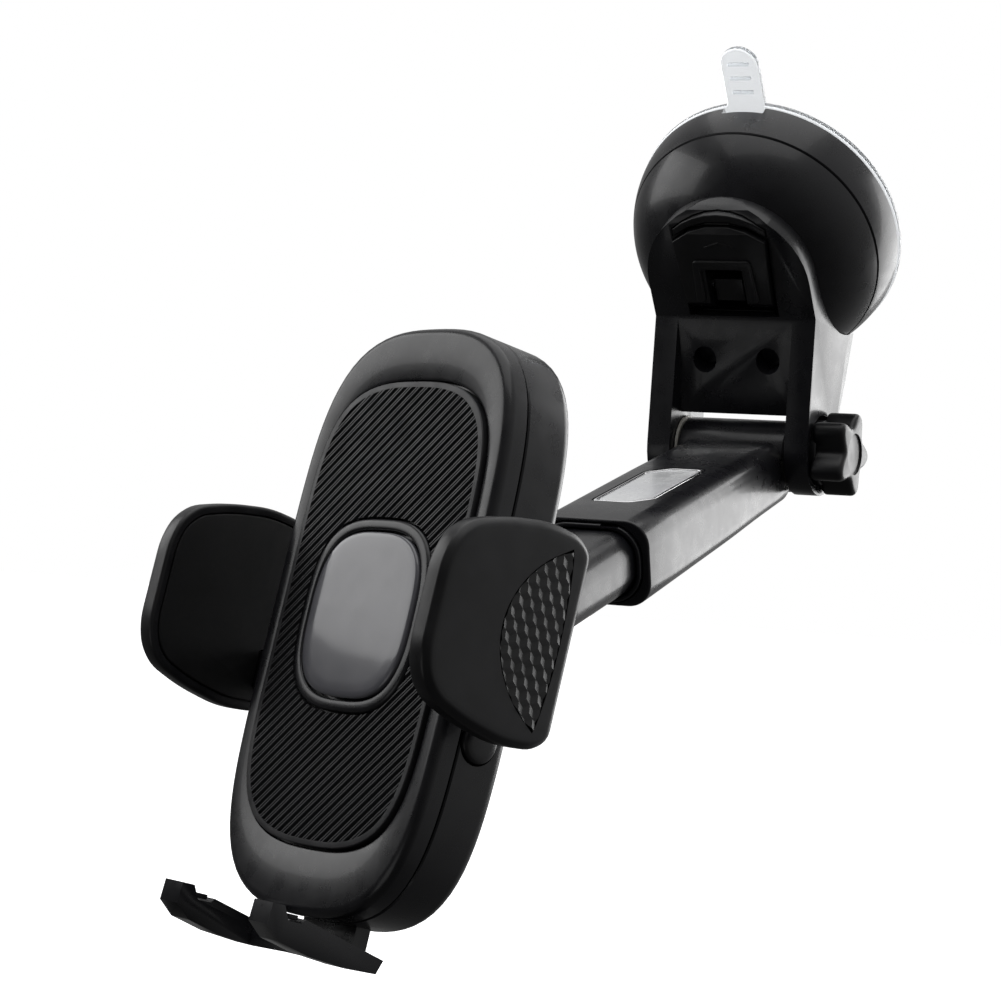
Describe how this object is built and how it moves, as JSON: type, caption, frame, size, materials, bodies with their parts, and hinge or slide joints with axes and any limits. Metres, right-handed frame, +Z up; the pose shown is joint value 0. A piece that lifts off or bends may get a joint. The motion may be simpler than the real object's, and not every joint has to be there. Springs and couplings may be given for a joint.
{
  "type": "car phone mount",
  "caption": "Windscreen suction phone holder: lever-locked cup, knob-clamped fork, telescopic arm, ball joint and a cradle with geared side jaws and a sliding foot.",
  "frame": {"origin": "centre of the clear gel pad's outer face, the face that sticks to the windscreen", "axes": "+X towards the clamp knob along the fork's pivot, +Y towards the windscreen, +Z up; the windscreen leans back over the object and its normal is the suction_face axis"},
  "size_m": [0.0949, 0.2134, 0.1911],
  "materials": {
    "gloss_black": "moulded, polished, softly reflecting",
    "satin_black": "moulded, fine satin grain",
    "rubber": "soft, matt",
    "clear_gel": "clear, slightly tacky gel",
    "grey_gloss": "mirror-polished dark grey",
    "steel": "zinc-plated, fine-turned",
    "black_steel": "blackened and oiled",
    "silver": "brushed plate with a polished rim",
    "nylon": "natural nylon, unpolished"
  },
  "bodies": {
    "base": {"gel_pad": "clear_gel", "suction_cup": "rubber", "dome_rim": "gloss_black", "base_dome": "gloss_black", "fork_bracket": "gloss_black", "lock_band": "satin_black", "fork_screw_left": "black_steel", "fork_screw_right": "black_steel", "pivot_bolt": "black_steel", "friction_washer_left": "nylon", "friction_washer_right": "nylon"},
    "stem": {"cup_stem": "satin_black", "lever_pin": "steel"},
    "lever": {"lock_lever": "satin_black"},
    "knob": {"clamp_knob": "satin_black"},
    "outer_arm": {"outer_arm": "gloss_black", "arm_badge": "silver", "arm_collar": "gloss_black"},
    "inner_arm": {"inner_tube": "gloss_black", "guide_shoe": "nylon", "ball_stud": "satin_black"},
    "ball_ring": {"ball_liner": "nylon"},
    "ball_clamp": {"ball_nut": "satin_black"},
    "cradle": {"rear_shell": "gloss_black", "front_frame": "gloss_black", "ribbed_pad": "rubber", "centre_ring": "gloss_black", "trigger_spring": "steel", "gear_axle": "steel", "case_screw_1": "steel", "case_screw_2": "steel", "case_screw_3": "steel", "case_screw_4": "steel"},
    "panel": {"centre_panel": "grey_gloss"},
    "pinion": {"pinion_gear": "nylon"},
    "jaw_left": {"jaw_left": "satin_black", "jaw_pad_left": "rubber", "grip_left": "rubber", "rack_left": "satin_black"},
    "jaw_right": {"jaw_right": "satin_black", "jaw_pad_right": "rubber", "grip_right": "rubber", "rack_right": "satin_black"},
    "button_left": {"release_button_left": "satin_black"},
    "button_right": {"release_button_right": "satin_black"},
    "foot": {"foot_bracket": "gloss_black", "foot_pad_left": "rubber", "foot_pad_right": "rubber"}
  },
  "joints": [
    {"name": "stem_slide", "type": "slide", "parent": "base", "child": "stem", "axis": [0, -0.7986, -0.6018], "range_m": [-0.002, 0]},
    {"name": "lever_hinge", "type": "hinge", "parent": "stem", "child": "lever", "pos_m": [0, -0.01896, -0.01554], "axis": [1, 0, 0], "range_deg": [0, 85]},
    {"name": "knob_turn", "type": "hinge", "parent": "base", "child": "knob", "pos_m": [0, -0.008, -0.05184], "axis": [1, 0, 0], "continuous": true},
    {"name": "arm_tilt", "type": "hinge", "parent": "base", "child": "outer_arm", "pos_m": [0, -0.008, -0.05184], "axis": [1, 0, 0], "range_deg": [-45, 100]},
    {"name": "arm_reach", "type": "slide", "parent": "outer_arm", "child": "inner_arm", "axis": [0, -0.9563, -0.2924], "range_m": [-0.016, 0.038]},
    {"name": "ball_yaw", "type": "hinge", "parent": "inner_arm", "child": "ball_ring", "pos_m": [0, -0.13312, -0.09407], "axis": [0, 0, 1], "range_deg": [0, 50]},
    {"name": "ball_nod", "type": "hinge", "parent": "ball_ring", "child": "ball_clamp", "pos_m": [0, -0.13312, -0.09407], "axis": [0.9062, -0.4229, 0], "range_deg": [0, 60]},
    {"name": "cradle_turn", "type": "hinge", "parent": "ball_clamp", "child": "cradle", "pos_m": [0, -0.13312, -0.09407], "axis": [0.4141, 0.8871, -0.2038], "continuous": true},
    {"name": "panel_press", "type": "slide", "parent": "cradle", "child": "panel", "axis": [0.4141, 0.8871, -0.2038], "range_m": [0, 0.0015], "stiffness_N_per_m": 800, "springref_m": -0.0006},
    {"name": "jaw_left_slide", "type": "slide", "parent": "cradle", "child": "jaw_left", "axis": [-0.9062, 0.4229, 0], "range_m": [-0.008, 0.008]},
    {"name": "jaw_right_slide", "type": "slide", "parent": "cradle", "child": "jaw_right", "axis": [0.9062, -0.4229, 0], "range_m": [-0.008, 0.008]},
    {"name": "pinion_spin", "type": "hinge", "parent": "cradle", "child": "pinion", "pos_m": [-0.00834, -0.15099, -0.09456], "axis": [0.4141, 0.8871, -0.2038], "range_deg": [-78, 78]},
    {"name": "button_left_press", "type": "slide", "parent": "cradle", "child": "button_left", "axis": [0.9062, -0.4229, 0], "range_m": [0, 0.0015], "stiffness_N_per_m": 800, "springref_m": -0.0006},
    {"name": "button_right_press", "type": "slide", "parent": "cradle", "child": "button_right", "axis": [-0.9062, 0.4229, 0], "range_m": [0, 0.0015], "stiffness_N_per_m": 800, "springref_m": -0.0006},
    {"name": "foot_slide", "type": "slide", "parent": "cradle", "child": "foot", "axis": [-0.0862, -0.1847, -0.979], "range_m": [-0.0025, 0.015]}
  ],
  "couplings": [
    {"joint": "lever_hinge", "follows": "stem_slide", "rad_per_m": -741.7},
    {"joint": "jaw_right_slide", "follows": "jaw_left_slide", "ratio": 1},
    {"joint": "pinion_spin", "follows": "jaw_left_slide", "rad_per_m": 166.67}
  ]
}
